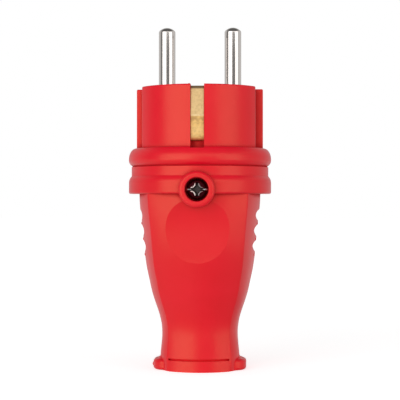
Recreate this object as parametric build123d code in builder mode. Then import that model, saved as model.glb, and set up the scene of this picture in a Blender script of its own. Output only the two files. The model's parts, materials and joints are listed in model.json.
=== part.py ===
from build123d import *
import os

# A rewirable rubber mains plug with two round pins and two side earth contacts.
# It stands on its tail: +Z runs up the plug to the pins, -Y is the front with the body screw,
# and the pins lie on the X axis. All sizes are millimetres.

# Clearances
slide_clearance = 0.1
screw_clearance = 0.2
loose_clearance = 0.3
drop_in_clearance = 0.5
crown_clearance = 2.5

# Pins
pin_pitch = 19.0
pin_radius = 2.4
pin_reach = 19.0
pin_dome = 1.1
pin_edge_radius = 0.8
pin_shank_step = 0.2
pin_shoulder_rise = 0.1
pin_head_step = 1.1
pin_head_length = 12.0
wire_hole_radius = 1.6
wire_hole_depth = 7.0

# Walls, counted outwards from the pins
terminal_well_wall = 0.8
barrel_bore_step = 0.3
flat_wall = 1.8
lobe_wall = 4.05
ear_height = 2.15
ear_half_thickness = 2.0
barrel_edge_radius = 0.4
lobe_corner_radius = 0.9
spigot_wall = 2.0
collar_wall = 4.1
handle_wall = 3.0

# Heights, from the tail up
tail_flange_height = 3.1
handle_height = 50.35
mouth_collar_height = 5.05
neck_height = 3.05
ring_height = 4.9
barrel_length = 17.3
ear_drop = 0.25
face_recess = 1.35
spigot_length = 3.3

# Handle stations at even steps from the tail to the shoulder: half widths, then half depths
tail_half_width = 11.3
ankle_half_width = 11.2
waist_half_width = 11.02
hip_half_width = 12.73
heel_half_width = 14.45
palm_half_width = 15.65
grip_half_width = 16.25
thumb_half_width = 16.95
tail_half_depth = 9.5
ankle_half_depth = 9.6
waist_half_depth = 9.7
hip_half_depth = 11.7
heel_half_depth = 14.0
palm_half_depth = 16.0
grip_half_depth = 17.3
thumb_half_depth = 18.05
panel_share = 0.8
tail_corner_share = 0.69
shoulder_corner_share = 0.79
corner_radius = 1.0

# Mouth collar of the handle and ring of the front shell
collar_crown_height = 1.9
collar_edge_radius = 0.5
neck_step = 0.8
ring_ledge = 0.25
ring_crown_height = 3.1
ring_foot_height = 1.5
seam_depth = 0.35
seam_height = 0.5

# Tail flange
flange_side_step = 2.1
flange_half_depth = 5.4
flange_corner_radius = 4.2
flange_edge_radius = 0.9
flange_root = 1.0
tongue_half_width = 8.65
tongue_proud = 0.6
undercut_height = 0.6
undercut_depth = 0.6

# Thumb dish and finger grooves
dish_drop = 10.3
dish_half_length = 9.0
dish_depth = 1.7
dish_wall = 2.0
groove_count = 3
groove_drop = 6.15
groove_pitch = 4.45
groove_radius = 2.0
groove_depth = 0.85
rib_radius = 0.4

# Insert
split_rise = 1.8
insert_flange_reach = 2.4
insert_flange_thickness = 2.0
insert_flange_drop = 1.0
block_half_depth = 12.2
block_reach = 5.35
pin_head_drop = 4.8
terminal_screw_rise = 4.5

# Earth strap and the slots in the lobes
strap_thickness = 0.9
strap_half_width = 1.8
strap_recess = 0.4
strap_bow = 0.45
strap_bow_drop = 8.0
strap_bend_radius = 0.35
strap_hook_length = 2.8
strap_eye_radius = 4.0
slot_foot_step = 1.2
slot_foot_drop = 0.4

# Body screw, its boss and its nut
boss_radius = 4.95
boss_proud = 1.5
boss_rise = 1.15
boss_edge_radius = 0.8
well_radius = 3.3
well_edge_radius = 0.3
seat_wall = 1.1
body_screw_radius = 2.0
body_screw_tip_reach = 1.2
body_head_radius = 2.95
body_head_height = 2.0
nut_half_width = 3.5
nut_thickness = 3.2
nut_front_wall = 1.2

# Small screws
terminal_screw_radius = 1.45
terminal_head_radius = 2.6
terminal_head_height = 2.0
earth_screw_radius = 1.95
earth_screw_reach = 4.2
earth_head_radius = 3.4
earth_head_height = 2.2
saddle_radius = 3.9
saddle_thickness = 0.8
carrier_screw_radius = 1.4
carrier_screw_grip = 7.5
carrier_seat_drop = 7.6
carrier_screw_gap = 0.7
carrier_screw_inset = 3.6
carrier_head_radius = 2.3
carrier_head_height = 1.8
driver_slot_width = 0.65
driver_slot_depth = 0.8
cross_core_radius = 1.45
cross_width = 0.9
cross_length = 3.9
cross_depth = 1.5
cross_taper = 12.0

# Cord seal in the tail and cord anchorage above it
seal_bore_radius = 5.0
seal_wall = 2.4
seal_bottom_height = 4.5
seal_length = 8.5
seal_mouth_chamfer = 0.8
seal_pocket_length = 12.5
chamber_floor_height = 13.0
tail_outlet_step = 0.8
anchor_length = 14.0
anchor_thickness = 3.8
anchor_edge = 2.4
anchor_chamfer = 1.8
clamp_rise = 7.0
clamp_bar_width = 6.6
clamp_bar_thickness = 3.0
clamp_bar_hollow = 0.6
clamp_screw_gap = 0.6
clamp_screw_radius = 1.5
clamp_head_radius = 2.5
clamp_head_height = 1.7

# Radii and reaches that follow from the sizes above
pin_x = pin_pitch / 2
pin_shank_radius = pin_radius + pin_shank_step
pin_head_radius = pin_radius + pin_head_step
block_radius = pin_x + pin_head_radius + slide_clearance + terminal_well_wall
barrel_bore_radius = block_radius + barrel_bore_step
barrel_radius = barrel_bore_radius + lobe_wall
lobe_half_width = barrel_bore_radius + flat_wall
ear_reach = lobe_half_width + ear_height
insert_flange_radius = barrel_bore_radius + insert_flange_reach
spigot_bore_radius = block_radius + drop_in_clearance
spigot_radius = spigot_bore_radius + spigot_wall
collar_radius = spigot_radius + collar_wall
neck_radius = collar_radius - neck_step
ring_ledge_radius = barrel_radius + ring_ledge
strap_seat = barrel_radius - strap_recess - strap_bow - strap_thickness
strap_middle = strap_seat + strap_thickness / 2
earth_slot_half_width = strap_half_width + slide_clearance
shoulder_half_width = block_radius + drop_in_clearance + handle_wall
panel_wall = dish_wall + dish_depth
shoulder_half_depth = block_half_depth + crown_clearance + panel_wall
tail_corner_depth = tail_corner_share * tail_half_depth
boss_face = collar_radius + boss_proud
body_seat = spigot_radius + slide_clearance + seat_wall
nut_face = block_half_depth - nut_front_wall
body_screw_tip = nut_face - nut_thickness - body_screw_tip_reach
carrier_screw_x = nut_half_width + carrier_head_radius + screw_clearance + carrier_screw_gap
carrier_screw_y = carrier_screw_inset - block_half_depth
seal_radius = seal_bore_radius + seal_wall
cord_space = seal_bore_radius + screw_clearance
clamp_screw_x = cord_space + clamp_screw_radius + clamp_screw_gap
anchor_half_width = clamp_screw_x + anchor_edge
clamp_face = cord_space + clamp_bar_thickness

# Heights that follow from the sizes above
mouth_height = handle_height + mouth_collar_height
neck_top_height = mouth_height + neck_height
barrel_bottom_height = neck_top_height + ring_height
rim_height = barrel_bottom_height + barrel_length
face_height = rim_height - face_recess
tip_height = face_height + pin_reach
spigot_bottom_height = mouth_height - spigot_length
mouth_floor_height = spigot_bottom_height - slide_clearance
boss_height = handle_height + boss_rise
dish_height = handle_height - dish_drop
split_height = barrel_bottom_height + split_rise
insert_flange_height = neck_top_height - insert_flange_drop
block_bottom_height = handle_height - block_reach
pin_shoulder_height = face_height + pin_shoulder_rise
pin_head_top_height = split_height - pin_head_drop
pin_head_bottom_height = pin_head_top_height - pin_head_length
terminal_screw_height = pin_head_bottom_height + terminal_screw_rise
carrier_seat_height = split_height - carrier_seat_drop
strap_bow_height = rim_height - strap_bow_drop
anchor_bottom_height = block_bottom_height - anchor_length
clamp_height = anchor_bottom_height + clamp_rise

# The handle's stations from tail to shoulder
handle_stations = [
    (tail_half_width, tail_half_depth),
    (ankle_half_width, ankle_half_depth),
    (waist_half_width, waist_half_depth),
    (hip_half_width, hip_half_depth),
    (heel_half_width, heel_half_depth),
    (palm_half_width, palm_half_depth),
    (grip_half_width, grip_half_depth),
    (thumb_half_width, thumb_half_depth),
    (shoulder_half_width, shoulder_half_depth),
]
station_step = handle_height / (len(handle_stations) - 1)

os.makedirs("parts", exist_ok=True)


def finish(builder, label):
    """Name a finished piece and write it."""
    builder.part.label = label
    export_step(builder.part, f"parts/{label}.step")


def handle_section(height, half_width, half_depth, corner_share):
    """One level section of the handle: four crowned sides that meet at corners."""
    corner_x = panel_share * half_width
    corner_y = corner_share * half_depth
    with BuildSketch(Plane.XY.offset(height)) as section:
        with BuildLine():
            ThreePointArc((-corner_x, -corner_y), (0, -half_depth), (corner_x, -corner_y))
            ThreePointArc((corner_x, -corner_y), (half_width, 0), (corner_x, corner_y))
            ThreePointArc((corner_x, corner_y), (0, half_depth), (-corner_x, corner_y))
            ThreePointArc((-corner_x, corner_y), (-half_width, 0), (-corner_x, -corner_y))
        make_face()
    return section.sketch


def handle_sections(side_inset=0, panel_inset=0):
    """Sections at all stations, drawn in at the sides and panels, and one more straight past each end."""
    sections = []
    last = len(handle_stations) - 1
    for i in range(-1, last + 2):
        nearest = min(max(i, 0), last)
        width, depth = handle_stations[nearest]
        share = nearest / last
        corner_share = (1 - share) * tail_corner_share + share * shoulder_corner_share
        height = i * station_step
        sections.append(handle_section(height, width - side_inset, depth - panel_inset, corner_share))
    return sections


def reach_at(height):
    """Half width and half depth of the handle at a height, along straight lines between the stations."""
    below = int(height / station_step)
    share = height / station_step - below
    return [(1 - share) * low + share * high for low, high in zip(*handle_stations[below : below + 2])]


def crowned_plate(half_width, corner_depth, half_depth):
    """Level face with straight sides and a crowned front and back."""
    with BuildSketch() as plate:
        with BuildLine():
            front = ThreePointArc((-half_width, -corner_depth), (0, -half_depth), (half_width, -corner_depth))
            back = ThreePointArc((half_width, corner_depth), (0, half_depth), (-half_width, corner_depth))
            Line(front @ 1, back @ 0)
            Line(back @ 1, front @ 0)
        make_face()
    return plate.sketch


def pan_screw(seat, radius, length, head_radius, head_height, cross=False):
    """Slotted pan-head screw. The seat plane lies under the head and faces away from the tip."""
    with BuildPart() as screw:
        with BuildSketch(seat):
            Circle(head_radius)
        extrude(amount=head_height)
        crown = screw.edges().sort_by(Axis(seat.origin, seat.z_dir))[-1]
        chamfer(crown, head_height / 3)
        with BuildSketch(seat.offset(head_height)):
            Rectangle(2 * head_radius, driver_slot_width)
        extrude(amount=-driver_slot_depth, mode=Mode.SUBTRACT)
        if cross:
            with BuildSketch(seat.offset(head_height)):
                Rectangle(cross_width, cross_length)
                Rectangle(cross_length, cross_width)
                RegularPolygon(cross_core_radius, 4)
            extrude(amount=-cross_depth, taper=cross_taper, mode=Mode.SUBTRACT)
        with BuildSketch(seat):
            Circle(radius)
        extrude(amount=-length)
    return screw


# Wiring chamber: the space that follows the handle's form inside its wall
with BuildPart() as chamber:
    loft(sections=handle_sections(handle_wall, panel_wall))
    split(bisect_by=Plane.XY.offset(chamber_floor_height), keep=Keep.TOP)
    split(bisect_by=Plane.XY.offset(mouth_floor_height), keep=Keep.BOTTOM)

# Thumb dish: a crosswise hollow that runs out in a round outline on the crowned front panel
dish_top_height = dish_height + dish_half_length
dish_bottom_height = dish_height - dish_half_length
dish_line = ThreePointArc(
    (-reach_at(dish_top_height)[1], dish_top_height),
    (dish_depth - reach_at(dish_height)[1], dish_height),
    (-reach_at(dish_bottom_height)[1], dish_bottom_height),
)
with BuildPart() as dish:
    with BuildSketch(Plane.YZ):
        with Locations(dish_line.arc_center):
            Circle(dish_line.radius)
    extrude(amount=shoulder_half_width, both=True)

# Tail flange: a rounded plate with soft edges, a step wider than the handle's sides where it meets them
side_reach = reach_at(tail_flange_height)[0]
flange_half_width = side_reach + flange_side_step
root_half_depth = flange_half_depth - flange_edge_radius - flange_root
with BuildPart() as tail_flange:
    with BuildSketch():
        RectangleRounded(2 * flange_half_width, 2 * flange_half_depth, flange_corner_radius)
    extrude(amount=tail_flange_height)
    fillet(tail_flange.faces().filter_by(Axis.Z).edges(), flange_edge_radius)

    # Hollow roots that lead from the plate up to the handle's sides
    for reach, rise in ((flange_root, 0), (flange_root / 3, flange_root / 3), (0, flange_root)):
        with BuildSketch(Plane.XY.offset(tail_flange_height + rise)):
            RectangleRounded(2 * (side_reach + reach), 2 * (root_half_depth + reach), root_half_depth / 2)
    loft(ruled=True)

# Rear handle: the lofted grip with rounded corners
with BuildPart() as rear_handle:
    loft(sections=handle_sections())
    split(bisect_by=Plane.XY, keep=Keep.TOP)
    split(bisect_by=Plane.XY.offset(handle_height), keep=Keep.BOTTOM)
    corners = rear_handle.edges().filter_by(lambda e: e.bounding_box().size.Z > handle_height / 2)
    fillet(corners, corner_radius)
    add(dish.part, mode=Mode.SUBTRACT)

    # Finger grooves that run out on the crowned sides and leave ribs between them
    for side in (-1, 1):
        for i in range(groove_count):
            height = handle_height - groove_drop - i * groove_pitch
            with BuildSketch(Plane.XZ):
                with Locations((side * (reach_at(height)[0] + groove_radius - groove_depth), height)):
                    Circle(groove_radius)
            extrude(amount=shoulder_half_depth, both=True, mode=Mode.SUBTRACT)
            fillet(rear_handle.edges(Select.LAST), rib_radius)

    # Mouth collar with its crowned top edge
    with BuildSketch(Plane.XZ) as collar_profile:
        with BuildLine():
            flank = Line((collar_radius, handle_height), (collar_radius, mouth_height - collar_crown_height))
            crown = TangentArc(flank @ 1, (neck_radius, mouth_height), tangent=(0, 1))
            Polyline(crown @ 1, (0, mouth_height), (0, handle_height), flank @ 0)
        make_face()
        fillet(collar_profile.vertices().group_by(Axis.Z)[0].sort_by(Axis.X)[-1], collar_edge_radius)
    revolve(axis=Axis.Z)

    # Screw boss
    with BuildSketch(Plane.XZ.offset(boss_face)):
        with Locations((0, boss_height)):
            Circle(boss_radius)
    extrude(amount=block_half_depth - boss_face)
    fillet(rear_handle.edges().group_by(Axis.Y)[0], boss_edge_radius)

    # Relief where the boss stands up in front of the shell's neck
    with BuildSketch(Plane.XY.offset(mouth_height)):
        Circle(neck_radius + slide_clearance)
    extrude(amount=boss_radius, mode=Mode.SUBTRACT)

    # Tail flange, and a proud tongue that follows the panel at front and back
    add(tail_flange.part)
    tongue = crowned_plate(
        tongue_half_width, tail_corner_depth + tongue_proud, tail_half_depth + tongue_proud
    )
    extrude(tongue, amount=tail_flange_height)

    # Undercut between the front and back panels and the tongues
    undercut_floor = crowned_plate(
        tongue_half_width, tail_corner_depth - undercut_depth, tail_half_depth - undercut_depth
    )
    with BuildSketch(Plane.XY.offset(tail_flange_height)):
        add(tongue)
        add(undercut_floor, mode=Mode.SUBTRACT)
    extrude(amount=undercut_height, mode=Mode.SUBTRACT)

    # Hollows: chamber, mouth, seal pocket, cord outlet, screw well and screw hole
    add(chamber.part, mode=Mode.SUBTRACT)
    with BuildSketch(Plane.XY.offset(mouth_floor_height)):
        Circle(spigot_radius + slide_clearance)
    extrude(amount=mouth_height - mouth_floor_height, mode=Mode.SUBTRACT)
    with BuildSketch(Plane.XY.offset(seal_bottom_height)):
        Circle(seal_radius + slide_clearance)
    extrude(amount=seal_pocket_length, mode=Mode.SUBTRACT)
    with BuildSketch():
        Circle(seal_bore_radius + tail_outlet_step)
    extrude(amount=seal_bottom_height, mode=Mode.SUBTRACT)
    with BuildSketch(Plane.XZ.offset(boss_face)):
        with Locations((0, boss_height)):
            Circle(well_radius)
    extrude(amount=body_seat - boss_face, mode=Mode.SUBTRACT)
    fillet(rear_handle.edges().group_by(Axis.Y)[0].sort_by(SortBy.RADIUS)[0], well_edge_radius)
    with BuildSketch(Plane.XZ.offset(boss_face)):
        with Locations((0, boss_height)):
            Circle(body_screw_radius + screw_clearance)
    extrude(amount=-boss_face, mode=Mode.SUBTRACT)
finish(rear_handle, "rear_handle")

# Side ribs of the barrel, a little lower than its rim
with BuildPart() as ears:
    with BuildSketch(Plane.XY.offset(barrel_bottom_height)):
        Rectangle(2 * ear_reach, 2 * ear_half_thickness)
    extrude(amount=barrel_length - ear_drop)
    fillet(ears.edges().filter_by(Axis.Z), barrel_edge_radius)
    fillet(ears.edges().group_by(Axis.Z)[-1], barrel_edge_radius)

# Front shell: the barrel's two lobes and two side ribs, on a turned ring, neck and spigot
with BuildPart() as front_shell:
    with BuildSketch(Plane.XY.offset(barrel_bottom_height)):
        Circle(barrel_radius)
        Rectangle(2 * lobe_half_width, 2 * barrel_radius, mode=Mode.INTERSECT)
    extrude(amount=barrel_length)
    fillet(front_shell.edges().filter_by(Axis.Z), lobe_corner_radius)
    fillet(front_shell.edges().group_by(Axis.Z)[-1], barrel_edge_radius)
    add(ears.part)
    with BuildSketch(Plane.XZ):
        with BuildLine():
            crown = EllipticalCenterArc(
                (ring_ledge_radius, barrel_bottom_height - ring_crown_height),
                collar_radius - ring_ledge_radius,
                ring_crown_height,
                arc_size=90,
            )
            flank = Line(crown @ 0, (collar_radius, neck_top_height + ring_foot_height))
            foot = TangentArc(flank @ 1, (neck_radius, neck_top_height), tangent=(0, -1))
            Polyline(
                foot @ 1,
                (neck_radius - seam_depth, neck_top_height - seam_height / 2),
                (neck_radius, neck_top_height - seam_height),
                (neck_radius, mouth_height),
                (spigot_radius, mouth_height),
                (spigot_radius, spigot_bottom_height),
                (0, spigot_bottom_height),
                (0, barrel_bottom_height),
                crown @ 1,
            )
        make_face()
    revolve(axis=Axis.Z)

    # Bore, with the groove that snaps over the insert's flange
    with BuildSketch(Plane.XY.offset(insert_flange_height)):
        Circle(barrel_bore_radius)
    extrude(amount=rim_height - insert_flange_height, mode=Mode.SUBTRACT)
    with BuildSketch(Plane.XY.offset(insert_flange_height - slide_clearance)):
        Circle(insert_flange_radius + slide_clearance)
    extrude(amount=insert_flange_thickness + 2 * slide_clearance, mode=Mode.SUBTRACT)
    with BuildSketch(Plane.XY.offset(spigot_bottom_height)):
        Circle(spigot_bore_radius)
    extrude(amount=insert_flange_height - spigot_bottom_height, mode=Mode.SUBTRACT)

    # Earth slots through both lobes, with a blind foot below the strap
    with BuildSketch(Plane.XY.offset(split_height - slide_clearance)):
        Rectangle(2 * earth_slot_half_width, 2 * barrel_radius)
    extrude(amount=rim_height - split_height + slide_clearance, mode=Mode.SUBTRACT)
    with BuildSketch(Plane.XY.offset(barrel_bottom_height - slot_foot_drop)):
        Rectangle(2 * earth_slot_half_width, 2 * collar_radius)
        Circle(strap_seat - slot_foot_step, mode=Mode.SUBTRACT)
    extrude(amount=slot_foot_drop + barrel_length, mode=Mode.SUBTRACT)

    # Notch in the spigot that lets the body screw pass
    with BuildSketch(Plane.XZ):
        with Locations((0, boss_height)):
            Circle(body_screw_radius + loose_clearance)
    extrude(amount=barrel_radius, mode=Mode.SUBTRACT)
finish(front_shell, "front_shell")

# Carrier face: the disc round the pins, with ribs that back the strap in the lobes' slots
with BuildPart() as carrier_face:
    with BuildSketch(Plane.XY.offset(split_height)):
        Circle(barrel_bore_radius - slide_clearance)
        Rectangle(2 * strap_half_width, 2 * strap_seat)
    extrude(amount=face_height - split_height)
    with BuildSketch(Plane.XY.offset(split_height)):
        with Locations((-pin_x, 0), (pin_x, 0)):
            Circle(pin_shank_radius + slide_clearance / 2)
    extrude(amount=face_height - split_height, mode=Mode.SUBTRACT)

    # Groove for the strap's bridge, its bends and the tip of the earth screw
    with BuildSketch(Plane.XY.offset(split_height)):
        Rectangle(2 * (strap_half_width + slide_clearance), 2 * strap_seat)
        Circle(strap_eye_radius + slide_clearance)
    extrude(amount=strap_thickness, mode=Mode.SUBTRACT)
    across = carrier_face.edges().filter_by(Axis.X).group_by(Axis.Y)
    fillet(across[0] + across[-1], strap_bend_radius)
    with BuildSketch(Plane.XY.offset(split_height)):
        Circle(earth_screw_radius + screw_clearance)
    extrude(amount=earth_screw_reach + screw_clearance, mode=Mode.SUBTRACT)

    with BuildSketch(Plane.XY.offset(split_height)):
        with Locations((-carrier_screw_x, carrier_screw_y), (carrier_screw_x, carrier_screw_y)):
            Circle(carrier_screw_radius)
    extrude(amount=carrier_screw_grip + screw_clearance, mode=Mode.SUBTRACT)
finish(carrier_face, "carrier_face")

# Terminal block: flange in the shell's groove, body in the handle's mouth, anchorage tongue below
with BuildPart() as terminal_block:
    with BuildSketch(Plane.XY.offset(anchor_bottom_height)):
        with Locations((0, cord_space + anchor_thickness / 2)):
            Rectangle(2 * anchor_half_width, anchor_thickness)
    extrude(amount=block_bottom_height - anchor_bottom_height)
    chamfer(terminal_block.edges().filter_by(Axis.Z).group_by(Axis.Y)[-1], anchor_chamfer)
    with BuildSketch(Plane.XY.offset(block_bottom_height)):
        Circle(block_radius)
        Rectangle(2 * block_radius, 2 * block_half_depth, mode=Mode.INTERSECT)
    extrude(amount=insert_flange_height - block_bottom_height)
    with BuildSketch(Plane.XY.offset(insert_flange_height)):
        Circle(insert_flange_radius)
    extrude(amount=insert_flange_thickness)
    with BuildSketch(Plane.XY.offset(insert_flange_height)):
        Circle(barrel_bore_radius - slide_clearance)
    extrude(amount=split_height - insert_flange_height)

    # Wells for the pins' heads and for the earth terminal
    with BuildSketch(Plane.XY.offset(block_bottom_height)):
        with Locations((-pin_x, 0), (pin_x, 0)):
            Circle(pin_head_radius + slide_clearance)
    extrude(amount=pin_head_top_height - block_bottom_height, mode=Mode.SUBTRACT)
    with BuildSketch(Plane.XY.offset(pin_head_top_height)):
        with Locations((-pin_x, 0), (pin_x, 0)):
            Circle(pin_shank_radius + slide_clearance / 2)
    extrude(amount=split_height - pin_head_top_height, mode=Mode.SUBTRACT)
    with BuildSketch(Plane.XY.offset(block_bottom_height)):
        Circle(saddle_radius + loose_clearance)
    extrude(amount=split_height - block_bottom_height, mode=Mode.SUBTRACT)

    # Passages for the carrier screws and, from behind, for the terminal screws
    with BuildSketch(Plane.XY.offset(block_bottom_height)):
        with Locations((-carrier_screw_x, carrier_screw_y), (carrier_screw_x, carrier_screw_y)):
            Circle(carrier_head_radius + screw_clearance)
    extrude(amount=carrier_seat_height - block_bottom_height, mode=Mode.SUBTRACT)
    with BuildSketch(Plane.XY.offset(carrier_seat_height)):
        with Locations((-carrier_screw_x, carrier_screw_y), (carrier_screw_x, carrier_screw_y)):
            Circle(carrier_screw_radius + screw_clearance)
    extrude(amount=split_height - carrier_seat_height, mode=Mode.SUBTRACT)
    with BuildSketch(Plane.XZ):
        with Locations((-pin_x, terminal_screw_height), (pin_x, terminal_screw_height)):
            Circle(terminal_head_radius + loose_clearance)
    extrude(amount=-block_radius, mode=Mode.SUBTRACT)

    # Pocket for the captive nut, open at the bottom, and the passage for the body screw
    pocket_half_width = nut_half_width + slide_clearance
    pocket_height = boss_height + pocket_half_width - block_bottom_height
    with BuildSketch(Plane.XZ.offset(nut_face)):
        with Locations((0, block_bottom_height + pocket_height / 2)):
            Rectangle(2 * pocket_half_width, pocket_height)
    extrude(amount=-(nut_thickness + slide_clearance), mode=Mode.SUBTRACT)
    with BuildSketch(Plane.XZ.offset(block_radius)):
        with Locations((0, boss_height)):
            Circle(body_screw_radius + screw_clearance)
    extrude(amount=body_screw_tip - screw_clearance - block_radius, mode=Mode.SUBTRACT)

    # Pilot holes for the clamp screws
    with BuildSketch(Plane.XZ.offset(-cord_space)):
        with Locations((-clamp_screw_x, clamp_height), (clamp_screw_x, clamp_height)):
            Circle(clamp_screw_radius)
    extrude(amount=-anchor_thickness, mode=Mode.SUBTRACT)
finish(terminal_block, "terminal_block")

# Pins: domed contact length, thicker shank behind a shoulder, and a head with the wire hole
for label, x in (("line_pin", -pin_x), ("neutral_pin", pin_x)):
    with BuildPart() as pin:
        with BuildSketch(Plane.XZ):
            with BuildLine():
                dome = TangentArc(
                    (x, tip_height), (x + pin_radius, tip_height - pin_dome), tangent=(1, 0)
                )
                Polyline(
                    dome @ 1,
                    (x + pin_radius, pin_shoulder_height),
                    (x + pin_shank_radius, pin_shoulder_height),
                    (x + pin_shank_radius, pin_head_top_height),
                    (x + pin_head_radius, pin_head_top_height),
                    (x + pin_head_radius, pin_head_bottom_height),
                    (x + wire_hole_radius, pin_head_bottom_height),
                    (x + wire_hole_radius, pin_head_bottom_height + wire_hole_depth),
                    (x, pin_head_bottom_height + wire_hole_depth),
                    dome @ 0,
                )
            make_face()
        revolve(axis=Axis((x, 0, 0), (0, 0, 1)))
        rims = pin.edges().filter_by(lambda e: e.is_closed)
        fillet(rims.sort_by(Axis.Z)[-1], pin_edge_radius)
        with BuildSketch(Plane.XZ):
            with Locations((x, terminal_screw_height)):
                Circle(terminal_screw_radius)
        extrude(amount=-pin_head_radius, mode=Mode.SUBTRACT)
    finish(pin, label)

# Earth strap: one bent strip, from a hook over the face down each lobe and across under the disc
with BuildPart() as earth_strap:
    with BuildSketch(Plane.YZ):
        with BuildLine():
            FilletPolyline(
                (strap_hook_length - strap_seat, face_height + strap_thickness / 2),
                (-strap_middle, face_height + strap_thickness / 2),
                (-strap_middle - strap_bow, strap_bow_height),
                (-strap_middle, split_height + strap_thickness / 2),
                (strap_middle, split_height + strap_thickness / 2),
                (strap_middle + strap_bow, strap_bow_height),
                (strap_middle, face_height + strap_thickness / 2),
                (strap_seat - strap_hook_length, face_height + strap_thickness / 2),
                radius=strap_bend_radius + strap_thickness / 2,
            )
        trace(line_width=strap_thickness)
    extrude(amount=strap_half_width, both=True)
    with BuildSketch(Plane.XY.offset(split_height)):
        Circle(strap_eye_radius)
    extrude(amount=strap_thickness)
    with BuildSketch(Plane.XY.offset(split_height)):
        Circle(earth_screw_radius)
    extrude(amount=strap_thickness, mode=Mode.SUBTRACT)
finish(earth_strap, "earth_strap")

# Earth terminal: saddle washer pressed up to the bridge by a screw from below
with BuildPart() as earth_saddle:
    with BuildSketch(Plane.XY.offset(split_height - saddle_thickness)):
        Circle(saddle_radius)
        Circle(earth_screw_radius + screw_clearance, mode=Mode.SUBTRACT)
    extrude(amount=saddle_thickness)
finish(earth_saddle, "earth_saddle")

earth_terminal_screw = pan_screw(
    Plane((0, 0, split_height - saddle_thickness), z_dir=(0, 0, -1)),
    earth_screw_radius,
    saddle_thickness + earth_screw_reach,
    earth_head_radius,
    earth_head_height,
)
finish(earth_terminal_screw, "earth_terminal_screw")

# Screws that clamp the wires in the pins' heads
for label, x in (("line_terminal_screw", -pin_x), ("neutral_terminal_screw", pin_x)):
    terminal_screw = pan_screw(
        Plane((x, pin_head_radius, terminal_screw_height), z_dir=(0, 1, 0)),
        terminal_screw_radius,
        pin_head_radius,
        terminal_head_radius,
        terminal_head_height,
    )
    finish(terminal_screw, label)

# Screws that join the two halves of the insert
for label, x in (("carrier_screw_left", -carrier_screw_x), ("carrier_screw_right", carrier_screw_x)):
    carrier_screw = pan_screw(
        Plane((x, carrier_screw_y, carrier_seat_height), z_dir=(0, 0, -1)),
        carrier_screw_radius,
        carrier_seat_drop + carrier_screw_grip,
        carrier_head_radius,
        carrier_head_height,
    )
    finish(carrier_screw, label)

# Body screw with a combined slot and cross, and its captive square nut
body_screw = pan_screw(
    Plane((0, -body_seat, boss_height), x_dir=(1, 0, 0), z_dir=(0, -1, 0)),
    body_screw_radius,
    body_seat - body_screw_tip,
    body_head_radius,
    body_head_height,
    cross=True,
)
finish(body_screw, "body_screw")

with BuildPart() as body_nut:
    with BuildSketch(Plane.XZ.offset(nut_face)):
        with Locations((0, boss_height)):
            Rectangle(2 * nut_half_width, 2 * nut_half_width)
            Circle(body_screw_radius, mode=Mode.SUBTRACT)
    extrude(amount=-nut_thickness)
finish(body_nut, "body_nut")

# Cord clamp bar with its hollowed inner face, and the two screws that draw it to the tongue
with BuildPart() as cord_clamp:
    with BuildSketch(Plane.XY.offset(clamp_height - clamp_bar_width / 2)):
        with Locations((0, -cord_space - clamp_bar_thickness / 2)):
            Rectangle(2 * anchor_half_width, clamp_bar_thickness)
        Circle(cord_space + clamp_bar_hollow, mode=Mode.SUBTRACT)
    extrude(amount=clamp_bar_width)
    with BuildSketch(Plane.XZ):
        with Locations((-clamp_screw_x, clamp_height), (clamp_screw_x, clamp_height)):
            Circle(clamp_screw_radius + slide_clearance)
    extrude(amount=clamp_face, mode=Mode.SUBTRACT)
finish(cord_clamp, "cord_clamp")

for label, x in (("cord_clamp_screw_left", -clamp_screw_x), ("cord_clamp_screw_right", clamp_screw_x)):
    clamp_screw = pan_screw(
        Plane((x, -clamp_face, clamp_height), x_dir=(1, 0, 0), z_dir=(0, -1, 0)),
        clamp_screw_radius,
        clamp_face + cord_space + anchor_thickness,
        clamp_head_radius,
        clamp_head_height,
    )
    finish(clamp_screw, label)

# Cord seal: a bush with flared mouths in the tail's pocket
with BuildPart() as cord_seal:
    with BuildSketch(Plane.XY.offset(seal_bottom_height)):
        Circle(seal_radius)
        Circle(seal_bore_radius, mode=Mode.SUBTRACT)
    extrude(amount=seal_length)
    mouths = cord_seal.edges().filter_by(GeomType.CIRCLE).sort_by(SortBy.RADIUS)[:2]
    chamfer(mouths, seal_mouth_chamfer)
finish(cord_seal, "cord_seal")
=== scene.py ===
import bpy
import json
import math
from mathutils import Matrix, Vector


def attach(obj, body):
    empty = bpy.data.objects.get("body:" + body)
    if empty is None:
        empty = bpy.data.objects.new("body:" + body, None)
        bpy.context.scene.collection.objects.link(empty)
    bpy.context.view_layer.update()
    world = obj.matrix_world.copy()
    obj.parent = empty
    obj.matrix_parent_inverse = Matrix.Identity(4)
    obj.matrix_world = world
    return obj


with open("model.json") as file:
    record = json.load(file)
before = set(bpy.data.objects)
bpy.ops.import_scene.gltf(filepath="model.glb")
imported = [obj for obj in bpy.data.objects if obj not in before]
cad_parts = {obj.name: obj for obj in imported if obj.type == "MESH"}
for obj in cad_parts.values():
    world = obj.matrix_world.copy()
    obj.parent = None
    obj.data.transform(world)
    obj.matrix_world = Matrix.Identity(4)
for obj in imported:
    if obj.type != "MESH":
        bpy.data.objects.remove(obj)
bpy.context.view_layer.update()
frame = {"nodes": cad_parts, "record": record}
nodes = frame["nodes"]

MM = 0.001

# Looks: tones run from dark to light, noise is in cells per metre, bump is strength and depth
NOISE_ROUGHNESS = 0.55
NOISE_LOW = 0.3
NOISE_HIGH = 0.7

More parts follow.
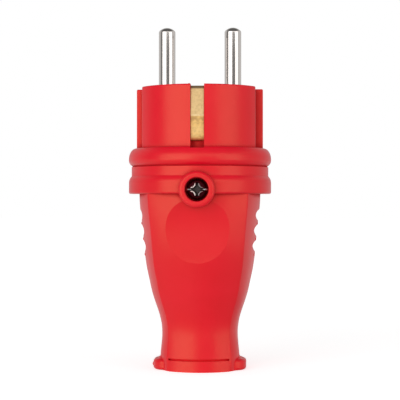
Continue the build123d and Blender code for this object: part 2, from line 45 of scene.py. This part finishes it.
# Red rubber: its open skin, and the creases, which are matt and darkened with painted shade, the
# shade lighter at the tail
RUBBER_TONES = ((0.84, 0.002, 0.022), (0.88, 0.003, 0.028))
RUBBER_HIGHLIGHT = (1.0, 1.0, 0.5, 1)
RUBBER_ROUGHNESS = (0.29, 0.34)
RUBBER_BLOTCHES = 90
RUBBER_SATIN = 220
RUBBER_GRAIN = 5200
RUBBER_BUMP = (0.12, 0.05 * MM)
CREASE_REACH = 1.9 * MM
CREASE_SAMPLES = 8
CREASE_OPENNESS = (0.5, 0.95)
CREASE_SHADE_RED = (0.58, 0.001, 0.016)
CREASE_ROUGHNESS = 0.8
TAIL_CREASE_SHADE_RED = (0.88, 0.001, 0.02)
TAIL_CREASE_TOP = (12 * MM, 14 * MM)

# Screw's well: a ball with a soft skin, round a point behind the boss, takes in its wall, which
# gets a slightly darker red as painted shade in place of the crease shade
SCREW_HEIGHT = 51.5
WELL_SHADE_RED = (0.78, 0.008, 0.03)
WELL_MIDDLE = (0, -18.4 * MM, SCREW_HEIGHT * MM)
WELL_REACH = (4.82 * MM, 4.62 * MM)

# Nickel: lines run the length of a pin
NICKEL_TONES = ((0.80, 0.75, 0.71), (0.88, 0.82, 0.78))
NICKEL_ROUGHNESS = (0.07, 0.10)
NICKEL_LINES = 4000
NICKEL_STRETCH = (1, 1, 0.02)
NICKEL_BUMP = (0.01, 0.01 * MM)

# Brass: golden below a bright line, pale above it, dark at the top bend
BRASS_GOLDEN = (
    (0.30, (0.62, 0.36, 0.12)),
    (0.42, (0.93, 0.61, 0.21)),
    (0.75, (0.97, 0.67, 0.27)),
)
BRASS_PALE = ((0.30, (0.75, 0.52, 0.24)), (0.45, (0.86, 0.61, 0.285)))
BRASS_BRIGHT_LINE = (0.95, 0.72, 0.38)
BRASS_BROWN = (0.42, 0.24, 0.07)
BRASS_BROWN_SHARE = (-0.12, 0.3)
BRASS_DARK = (0.30, 0.20, 0.10)
BRASS_LINE_FOOT = (71.6 * MM, 71.9 * MM)
BRASS_LINE_TOP = (72.0 * MM, 72.4 * MM)
BRASS_BEND = (79.2 * MM, 79.5 * MM)
BRASS_ROUGHNESS = (0.6, 0.5)
BRASS_METALLIC = 0.4
BRASS_STAINS = 420
BRASS_MOTTLE = 1500
BRASS_GRAIN = 2600
BRASS_BUMP = (0.15, 0.03 * MM)

# Steel: zinc on hidden screws; the seen screw, plated steel as well, with painted light: its face
# painted dark maroon as shade and as reflection of the red well, its recess dark grey as shade,
# its recess edges painted as glints, bright on the left and a shaded copy on the right, and its
# slot floors a lighter grey as reflection
ZINC_TONES = ((0.45, 0.45, 0.46), (0.58, 0.58, 0.59))
SCREW_FACE_SHADE_TONES = ((0.035, 0.003, 0.005), (0.05, 0.004, 0.007))
SCREW_RECESS_SHADE_TONES = ((0.05, 0.04, 0.038), (0.08, 0.065, 0.06))
SCREW_RECESS_DEPTH = (0.3 * MM, 0.6 * MM)
GLINT_EDGE_TONES = ((0.95, 0.91, 0.85), (1.0, 0.96, 0.90))
GLINT_EDGE_METALLIC = 0.5
SHADED_EDGE_TONES = ((0.34, 0.32, 0.31), (0.42, 0.40, 0.39))
SLOT_FLOOR_LIT_TONES = ((0.30, 0.29, 0.28), (0.40, 0.39, 0.38))
STEEL_ROUGHNESS = (0.28, 0.4)
STEEL_CLOUDS = 900
STEEL_GRAIN = 4000
STEEL_BUMP = (0.1, 0.02 * MM)

# Black mouldings: the hard insert and the soft seal
INSERT_TONES = ((0.012, 0.012, 0.013), (0.02, 0.02, 0.021))
INSERT_ROUGHNESS = (0.40, 0.50)
SEAL_TONES = ((0.012, 0.012, 0.012), (0.02, 0.02, 0.02))
SEAL_ROUGHNESS = (0.55, 0.65)
MOULDED_CLOUDS = 300
MOULDED_GRAIN = 4500
MOULDED_BUMP = (0.15, 0.04 * MM)

# Details in millimetres: height and reach of each rib's crest
RIB_CRESTS = ((41.98, 16.72), (37.53, 16.23), (33.08, 15.80))
RIB_RADIUS = 0.6
RIB_HALF_LENGTH = 3.5

# Mould flash: a run on the tail's left end, and x and rise of one along the rim, behind its front
TAIL_FLASH = ((-13.28, 0, 1.2), (-13.28, 0, 1.5))
TAIL_FLASH_RADIUS = 0.45
RIM_HEIGHT = 80.4
SLOT_FLASH = ((-2.7, 0.0), (-2.15, 0.2))
SLOT_FLASH_RADIUS = 0.2
SLOT_FLASH_INSET = 0.5

# Seen screw: x and z of one edge of its cross recess, and x along the floor of its slot
RECESS_EDGE = ((0.5, 1.6), (0.62, 1.05), (0.85, 0.85), (1.05, 0.62), (1.6, 0.5))
RECESS_EDGE_RADIUS = 0.18
SLOT_FLOOR = (1.85, 2.3, 2.75)
SLOT_FLOOR_RADIUS = 0.4
SLOT_FLOOR_DEPTH = 0.45

# Beads: sides, and how far out and how wide the ring in each domed end is
BEAD_SIDES = 12
DOME_REACH = 0.8
DOME_WIDTH = 0.6

# Camera: level with the middle of the plug, a little to the right of its front
CAMERA_DISTANCE = 370 * MM
CAMERA_HEIGHT = 48.6 * MM
CAMERA_AZIMUTH = math.radians(2.5)
CAMERA_LENS = 115.3
CAMERA_SENSOR = 36
CAMERA_CLIP = (0.01, 50)

# Floor: in the picture it glows to white, less so near the plug
FLOOR_SIZE = 6.0
FLOOR_TONES = ((0.90, 0.90, 0.90), (0.94, 0.94, 0.94))
FLOOR_CLOUDS = 3
FLOOR_ROUGHNESS = 0.9
FLOOR_GLOW = (0.60, 0.74)
FLOOR_GLOW_REACH = (0.1, 0.5)

# Surroundings: brightness as soft light and in reflections
LIT_SIDE = 0.36
SHADED_SIDE = 0.34
REFLECTED_FRONT = 0.20
REFLECTED_BACK = 0.57
REFLECTED_ABOVE = 0.12
REFLECTED_TABLE = 0.75
REFLECTED_BELOW = (0.66, 0.36)

# Turns from one brightness to the next: a direction, and where along it the turn starts and ends
SHADE_TURN = ((0.45, 0.9, 0), -1, 1)
BACK_TURN = ((0.25, 1, 0), -0.30, 0.05)
ABOVE_TURN = ((0, 0, 1), 0.5, 0.8)
TABLE_TURN = ((0, 0, -1), 0.02, 0.10)
BELOW_TURN = ((0, 0, -1), 0.2, 0.4)
RIGHT_TURN = ((1, 0, 0), -0.25, 0.15)

# Lights: azimuth from the front towards +X, elevation, width, height and brightness
LIGHT_DISTANCE = 0.9
SOFTBOXES = {
    "left_softbox": (-36, 4, 0.88, 0.73, 1.7),
    "right_softbox": (53, 4, 0.62, 0.73, 1.3),
    "upper_softbox": (13, 19, 0.75, 0.25, 1.2),
    "key_light": (-28, 30, 0.4, 0.4, 1.2),
}


def adder(tree):
    """Shorthand that adds a node to a tree and sets its properties or its sockets."""

    def add(kind, **settings):
        node = tree.nodes.new(kind)
        for key, value in settings.items():
            if hasattr(node, key):
                setattr(node, key, value)
            else:
                node.inputs[key].default_value = value
        return node

    return add


def new_material(name):
    """An empty node material, with its Principled shader and what links and adds nodes."""
    material = bpy.data.materials.new(name)
    material.use_nodes = True
    tree = material.node_tree
    return material, tree.links.new, tree.nodes["Principled BSDF"], adder(tree)


def object_noise(add, link, scale, detail=4.0, stretch=(1, 1, 1)):
    """Noise in the object's own space, scale in cells per metre."""
    place = add("ShaderNodeTexCoord")
    mapping = add("ShaderNodeMapping", Scale=stretch)
    noise = add("ShaderNodeTexNoise", Scale=scale, Detail=detail, Roughness=NOISE_ROUGHNESS)
    link(place.outputs["Object"], mapping.inputs["Vector"])
    link(mapping.outputs["Vector"], noise.inputs["Vector"])
    return noise.outputs["Fac"]


def ramp(add, link, factor, *stops):
    """Colour ramp over a factor, from (position, colour) stops."""
    node = add("ShaderNodeValToRGB")
    elements = node.color_ramp.elements
    for extra in stops[2:]:
        elements.new(extra[0])
    for element, (position, colour) in zip(elements, stops):
        element.position = position
        element.color = (*colour, 1)
    link(factor, node.inputs["Fac"])
    return node.outputs["Color"]


def clouded(add, link, noise, dark, light):
    """Colour that goes from dark to light over a noise's usual range."""
    return ramp(add, link, noise, (NOISE_LOW, dark), (NOISE_HIGH, light))


def spread(add, link, noise, low, high):
    """Value that goes from low to high over a noise's usual range."""
    node = add("ShaderNodeMapRange")
    node.inputs["From Min"].default_value = NOISE_LOW
    node.inputs["From Max"].default_value = NOISE_HIGH
    node.inputs["To Min"].default_value = low
    node.inputs["To Max"].default_value = high
    link(noise, node.inputs["Value"])
    return node.outputs["Result"]


def bump(add, link, shader, height, strength, depth):
    """Fine relief from a height."""
    node = add("ShaderNodeBump", Strength=strength, Distance=depth)
    link(height, node.inputs["Height"])
    link(node.outputs["Normal"], shader.inputs["Normal"])


def blend(add, link, factor, under, over):
    """Colour that goes from one to another with a factor. Each is a socket or a plain colour."""
    node = add("ShaderNodeMix", data_type="RGBA")
    link(factor, node.inputs[0])
    for socket, colour in zip(node.inputs[6:8], (under, over)):
        if isinstance(colour, tuple):
            socket.default_value = (*colour, 1)
        else:
            link(colour, socket)
    return node.outputs[2]


def band(add, link, value, start, end):
    """Soft step from 0 to 1 as a value goes from start to end."""
    node = add("ShaderNodeMapRange", interpolation_type="SMOOTHSTEP")
    node.inputs["From Min"].default_value = start
    node.inputs["From Max"].default_value = end
    link(value, node.inputs["Value"])
    return node.outputs["Result"]


def shifted(add, link, factor, low, high):
    """Value that goes from low to high with a factor. Each is a socket or a number."""
    node = add("ShaderNodeMapRange")
    link(factor, node.inputs["Value"])
    for socket, value in ((node.inputs["To Min"], low), (node.inputs["To Max"], high)):
        if isinstance(value, float):
            socket.default_value = value
        else:
            link(value, socket)
    return node.outputs["Result"]


def along(add, link, axis):
    """Place along an axis in metres, in the plug's own frame."""
    place = add("ShaderNodeTexCoord")
    split = add("ShaderNodeSeparateXYZ")
    link(place.outputs["Object"], split.inputs["Vector"])
    return split.outputs[axis]


def inside_well(add, link):
    """1 in the screw's well and 0 elsewhere."""
    place = add("ShaderNodeTexCoord")
    middle = add("ShaderNodeVectorMath", operation="DISTANCE")
    middle.inputs[1].default_value = WELL_MIDDLE
    link(place.outputs["Object"], middle.inputs[0])
    return band(add, link, middle.outputs["Value"], *WELL_REACH)


def red_rubber():
    """Satin moulded rubber: faint blotches, matt creases darkened with painted shade, a slightly
    darker painted shade in the screw's well, a fine grain, warm highlights.
    """
    material, link, shader, add = new_material("red_rubber")
    plain = clouded(add, link, object_noise(add, link, RUBBER_BLOTCHES), *RUBBER_TONES)
    # Painted shade: where ambient occlusion finds a crease, the red darkens towards a deep red,
    # less so at the tail
    crease = add("ShaderNodeAmbientOcclusion", samples=CREASE_SAMPLES, Distance=CREASE_REACH)
    open_share = band(add, link, crease.outputs["AO"], *CREASE_OPENNESS)
    above_tail = band(add, link, along(add, link, "Z"), *TAIL_CREASE_TOP)
    crease_shade = blend(add, link, above_tail, TAIL_CREASE_SHADE_RED, CREASE_SHADE_RED)
    surface_colour = blend(add, link, open_share, crease_shade, plain)
    # Painted shade: the wall of the screw's well takes a slightly darker red in place of the
    # crease shade, and is matt
    well = inside_well(add, link)
    link(blend(add, link, well, surface_colour, WELL_SHADE_RED), shader.inputs["Base Color"])
    satin = spread(add, link, object_noise(add, link, RUBBER_SATIN), *RUBBER_ROUGHNESS)
    satin = shifted(add, link, open_share, CREASE_ROUGHNESS, satin)
    link(shifted(add, link, well, satin, CREASE_ROUGHNESS), shader.inputs["Roughness"])
    shader.inputs["Specular Tint"].default_value = RUBBER_HIGHLIGHT
    bump(add, link, shader, object_noise(add, link, RUBBER_GRAIN, detail=2), *RUBBER_BUMP)
    return material


def nickel():
    """Bright nickel plate with fine lengthwise polishing lines."""
    material, link, shader, add = new_material("nickel")
    lines = object_noise(add, link, NICKEL_LINES, stretch=NICKEL_STRETCH)
    link(clouded(add, link, lines, *NICKEL_TONES), shader.inputs["Base Color"])
    link(spread(add, link, lines, *NICKEL_ROUGHNESS), shader.inputs["Roughness"])
    shader.inputs["Metallic"].default_value = 1.0
    bump(add, link, shader, lines, *NICKEL_BUMP)
    return material


def brass():
    """Pale rolled brass with brown stains and a fine mottle."""
    material, link, shader, add = new_material("brass")
    stains = object_noise(add, link, BRASS_STAINS, detail=6)
    golden = ramp(add, link, stains, *BRASS_GOLDEN)
    pale = ramp(add, link, stains, *BRASS_PALE)
    height = along(add, link, "Z")
    surface_colour = blend(add, link, band(add, link, height, *BRASS_LINE_FOOT), golden, BRASS_BRIGHT_LINE)
    surface_colour = blend(add, link, band(add, link, height, *BRASS_LINE_TOP), surface_colour, pale)
    mottle = object_noise(add, link, BRASS_MOTTLE, detail=3)
    surface_colour = blend(add, link, spread(add, link, mottle, *BRASS_BROWN_SHARE), surface_colour, BRASS_BROWN)
    bend = band(add, link, height, *BRASS_BEND)
    link(blend(add, link, bend, surface_colour, BRASS_DARK), shader.inputs["Base Color"])
    link(spread(add, link, stains, *BRASS_ROUGHNESS), shader.inputs["Roughness"])
    shader.inputs["Metallic"].default_value = BRASS_METALLIC
    bump(add, link, shader, object_noise(add, link, BRASS_GRAIN), *BRASS_BUMP)
    return material


def screw_front():
    """Where the seen screw's face is along Y, in metres."""
    return min(vertex.co.y for vertex in nodes["body_screw"].data.vertices)


def plated_steel(name, tones, recess_tones=None, metallic=1.0):
    """Plated steel with a cloudy skin. Recess tones take over behind the seen screw's face."""
    material, link, shader, add = new_material(name)
    cloud = object_noise(add, link, STEEL_CLOUDS)
    colour = clouded(add, link, cloud, *tones)
    if recess_tones:
        limits = [screw_front() + depth for depth in SCREW_RECESS_DEPTH]
        deep = band(add, link, along(add, link, "Y"), *limits)
        colour = blend(add, link, deep, colour, clouded(add, link, cloud, *recess_tones))
    link(colour, shader.inputs["Base Color"])
    link(spread(add, link, cloud, *STEEL_ROUGHNESS), shader.inputs["Roughness"])
    shader.inputs["Metallic"].default_value = metallic
    bump(add, link, shader, object_noise(add, link, STEEL_GRAIN), *STEEL_BUMP)
    return material


def moulded(name, tones, roughness):
    """Matt moulded plastic or black rubber with a fine grain."""
    material, link, shader, add = new_material(name)
    cloud = object_noise(add, link, MOULDED_CLOUDS)
    link(clouded(add, link, cloud, *tones), shader.inputs["Base Color"])
    link(spread(add, link, cloud, *roughness), shader.inputs["Roughness"])
    bump(add, link, shader, object_noise(add, link, MOULDED_GRAIN, detail=2), *MOULDED_BUMP)
    return material


def dress_nodes():
    """Give every CAD node the material of its slot, and the seen screw a plate painted dark as
    shade.
    """
    finishes = {
        "red_rubber": red_rubber(),
        "insert": moulded("insert", INSERT_TONES, INSERT_ROUGHNESS),
        "nickel": nickel(),
        "brass": brass(),
        "steel": plated_steel("steel", ZINC_TONES),
        "seal_rubber": moulded("seal_rubber", SEAL_TONES, SEAL_ROUGHNESS),
    }
    # Painted shade: the seen screw is set far darker than zinc, its face tinted with the well's
    # red as painted reflection
    seen_screw = plated_steel("shaded_screw", SCREW_FACE_SHADE_TONES, SCREW_RECESS_SHADE_TONES)
    for part in frame["record"]["subparts"]:
        node = nodes[part["node"]]
        finish = seen_screw if part["node"] == "body_screw" else finishes[part["material_slot"]]
        node.data.materials.clear()
        node.data.materials.append(finish)


def bead(name, points, radius, material):
    """Round bead along a run of points in millimetres, with domed ends. It rides on the plug."""
    path = [Vector(point) * MM for point in points]
    before = path[0] - (path[1] - path[0]).normalized() * radius * MM
    after = path[-1] + (path[-1] - path[-2]).normalized() * radius * MM
    rings = [(point, 1.0) for point in path]
    rings.insert(0, (path[0].lerp(before, DOME_REACH), DOME_WIDTH))
    rings.append((path[-1].lerp(after, DOME_REACH), DOME_WIDTH))
    top = len(rings) - 1
    vertices, faces = [tuple(before)], []
    for i, (centre, share) in enumerate(rings):
        direction = rings[min(i + 1, top)][0] - rings[max(i - 1, 0)][0]
        ahead = direction.to_track_quat("Z", "Y")
        for k in range(BEAD_SIDES):
            turn = 2 * math.pi * k / BEAD_SIDES
            out = ahead @ Vector((math.cos(turn), math.sin(turn), 0))
            vertices.append(tuple(centre + out * radius * share * MM))
    vertices.append(tuple(after))
    last = len(vertices) - 1
    for k in range(BEAD_SIDES):
        following = (k + 1) % BEAD_SIDES
        faces.append((0, 1 + following, 1 + k))
        for i in range(top):
            row = 1 + i * BEAD_SIDES
            above = row + BEAD_SIDES
            faces.append((row + k, row + following, above + following, above + k))
        row = 1 + top * BEAD_SIDES
        faces.append((row + k, row + following, last))
    mesh = bpy.data.meshes.new(name)
    mesh.from_pydata(vertices, [], faces)
    mesh.polygons.foreach_set("use_smooth", [True] * len(faces))
    mesh.materials.append(material)
    piece = bpy.data.objects.new(name, mesh)
    bpy.context.scene.collection.objects.link(piece)
    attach(piece, "root")


def rubber_details():
    """Straight crests on the finger ribs, and mould flash at the tail and at the slot."""
    rubber = nodes["rear_handle"].data.materials[0]
    for side, hand in ((-1, "left"), (1, "right")):
        for number, (height, reach) in enumerate(RIB_CRESTS, 1):
            x = side * (reach - RIB_RADIUS)
            crest = [(x, y, height) for y in (-RIB_HALF_LENGTH, 0, RIB_HALF_LENGTH)]
            bead(f"rib_crest_{hand}_{number}", crest, RIB_RADIUS, rubber)
    bead("tail_flash", TAIL_FLASH, TAIL_FLASH_RADIUS, rubber)

    shell = nodes["front_shell"].data.vertices
    rim_front = min(vertex.co.y for vertex in shell if vertex.co.z > RIM_HEIGHT * MM)
    flash_depth = rim_front / MM + SLOT_FLASH_INSET
    flash = [(x, flash_depth, RIM_HEIGHT + rise) for x, rise in SLOT_FLASH]
    bead("slot_flash", flash, SLOT_FLASH_RADIUS, rubber)


def screw_details():
    """Edges of the seen screw's cross recess, painted as glints, bright on the left and a shaded
    copy on the right, and floors of its slot, painted a lighter grey as reflection.
    """
    # Painted light: glint edges bright on the left, a shaded copy on the right, and slot floors a
    # lighter grey as reflection
    glint_edge = plated_steel("glint_edge", GLINT_EDGE_TONES, metallic=GLINT_EDGE_METALLIC)
    shaded_edge = plated_steel("shaded_edge", SHADED_EDGE_TONES)
    slot_floor = plated_steel("slot_floor", SLOT_FLOOR_LIT_TONES)
    face = screw_front() / MM
    for side, hand, painted_light_edge in ((-1, "left", glint_edge), (1, "right", shaded_edge)):
        stub = [(side * x, face + SLOT_FLOOR_DEPTH, SCREW_HEIGHT) for x in SLOT_FLOOR]
        bead(f"slot_floor_{hand}", stub, SLOT_FLOOR_RADIUS, slot_floor)
        for rise, level in ((-1, "lower"), (1, "upper")):
            edge = [(side * x, face, SCREW_HEIGHT + rise * z) for x, z in RECESS_EDGE]
            bead(f"recess_edge_{level}_{hand}", edge, RECESS_EDGE_RADIUS, painted_light_edge)


def floor():
    """Pale floor that runs far behind the plug and keeps the plug's shadow."""
    half = FLOOR_SIZE / 2
    corners = [(-half, -half, 0), (half, -half, 0), (half, half, 0), (-half, half, 0)]
    mesh = bpy.data.meshes.new("floor")
    mesh.from_pydata(corners, [], [(0, 1, 2, 3)])
    plane = bpy.data.objects.new("floor", mesh)
    bpy.context.scene.collection.objects.link(plane)
    material, link, shader, add = new_material("floor")
    cloud = object_noise(add, link, FLOOR_CLOUDS)
    link(clouded(add, link, cloud, *FLOOR_TONES), shader.inputs["Base Color"])
    shader.inputs["Roughness"].default_value = FLOOR_ROUGHNESS
    shader.inputs["Specular IOR Level"].default_value = 0.0
    shader.inputs["Emission Color"].default_value = (1, 1, 1, 1)
    place = add("ShaderNodeTexCoord")
    reach = add("ShaderNodeVectorMath", operation="LENGTH")
    link(place.outputs["Object"], reach.inputs[0])
    far = band(add, link, reach.outputs["Value"], *FLOOR_GLOW_REACH)
    path = add("ShaderNodeLightPath")
    glow = add("ShaderNodeMath", operation="MULTIPLY")
    link(path.outputs["Is Camera Ray"], glow.inputs[0])
    link(shifted(add, link, far, *FLOOR_GLOW), glow.inputs[1])
    link(glow.outputs["Value"], shader.inputs["Emission Strength"])
    mesh.materials.append(material)
    plane.visible_glossy = False
    plane.visible_shadow = False


def surroundings():
    """White surroundings, which reflections show dim in front and above."""
    world = bpy.data.worlds.new("studio")
    bpy.context.scene.world = world
    world.use_nodes = True
    world.cycles.sampling_method = "NONE"
    tree = world.node_tree
    link, add = tree.links.new, adder(tree)
    background = tree.nodes["Background"]
    background.inputs["Color"].default_value = (1, 1, 1, 1)
    path = add("ShaderNodeLightPath")
    place = add("ShaderNodeTexCoord")

    def turned(turn, low, high):
        """Brightness that goes from low to high as a ray turns towards a direction."""
        direction, start, end = turn
        share = add("ShaderNodeVectorMath", operation="DOT_PRODUCT")
        share.inputs[1].default_value = direction
        link(place.outputs["Generated"], share.inputs[0])
        return shifted(add, link, band(add, link, share.outputs["Value"], start, end), low, high)

    soft = turned(SHADE_TURN, LIT_SIDE, SHADED_SIDE)
    reflected = turned(BACK_TURN, REFLECTED_FRONT, REFLECTED_BACK)
    reflected = turned(ABOVE_TURN, reflected, REFLECTED_ABOVE)
    reflected = turned(TABLE_TURN, reflected, REFLECTED_TABLE)
    reflected = turned(BELOW_TURN, reflected, turned(RIGHT_TURN, *REFLECTED_BELOW))
    shone = shifted(add, link, path.outputs["Is Glossy Ray"], soft, reflected)
    seen = shifted(add, link, path.outputs["Is Camera Ray"], shone, 1.0)
    link(seen, background.inputs["Strength"])


def lights():
    """Rectangular soft lights round the plug's middle. The key light shows in no reflection."""
    for name, (azimuth, elevation, width, height, brightness) in SOFTBOXES.items():
        light = bpy.data.lights.new(name, "AREA")
        light.shape = "RECTANGLE"
        light.size = width
        light.size_y = height
        light.energy = brightness * math.pi * width * height
        box = bpy.data.objects.new(name, light)
        a, e = math.radians(azimuth), math.radians(elevation)
        away = Vector((math.sin(a) * math.cos(e), -math.cos(a) * math.cos(e), math.sin(e)))
        box.location = away * LIGHT_DISTANCE + Vector((0, 0, CAMERA_HEIGHT))
        box.rotation_mode = "QUATERNION"
        box.rotation_quaternion = (-away).to_track_quat("-Z", "Y")
        box.visible_glossy = name != "key_light"
        bpy.context.scene.collection.objects.link(box)


def camera():
    """Level camera in front of the plug."""
    data = bpy.data.cameras.new("camera")
    data.lens = CAMERA_LENS
    data.sensor_width = CAMERA_SENSOR
    data.clip_start, data.clip_end = CAMERA_CLIP
    view = bpy.data.objects.new("camera", data)
    back = Vector((math.sin(CAMERA_AZIMUTH), -math.cos(CAMERA_AZIMUTH), 0))
    view.location = back * CAMERA_DISTANCE + Vector((0, 0, CAMERA_HEIGHT))
    view.rotation_mode = "QUATERNION"
    view.rotation_quaternion = (-back).to_track_quat("-Z", "Y")
    bpy.context.scene.collection.objects.link(view)
    bpy.context.scene.camera = view


bpy.context.scene.view_settings.view_transform = "Standard"
dress_nodes()
rubber_details()
screw_details()
floor()
surroundings()
lights()
camera()
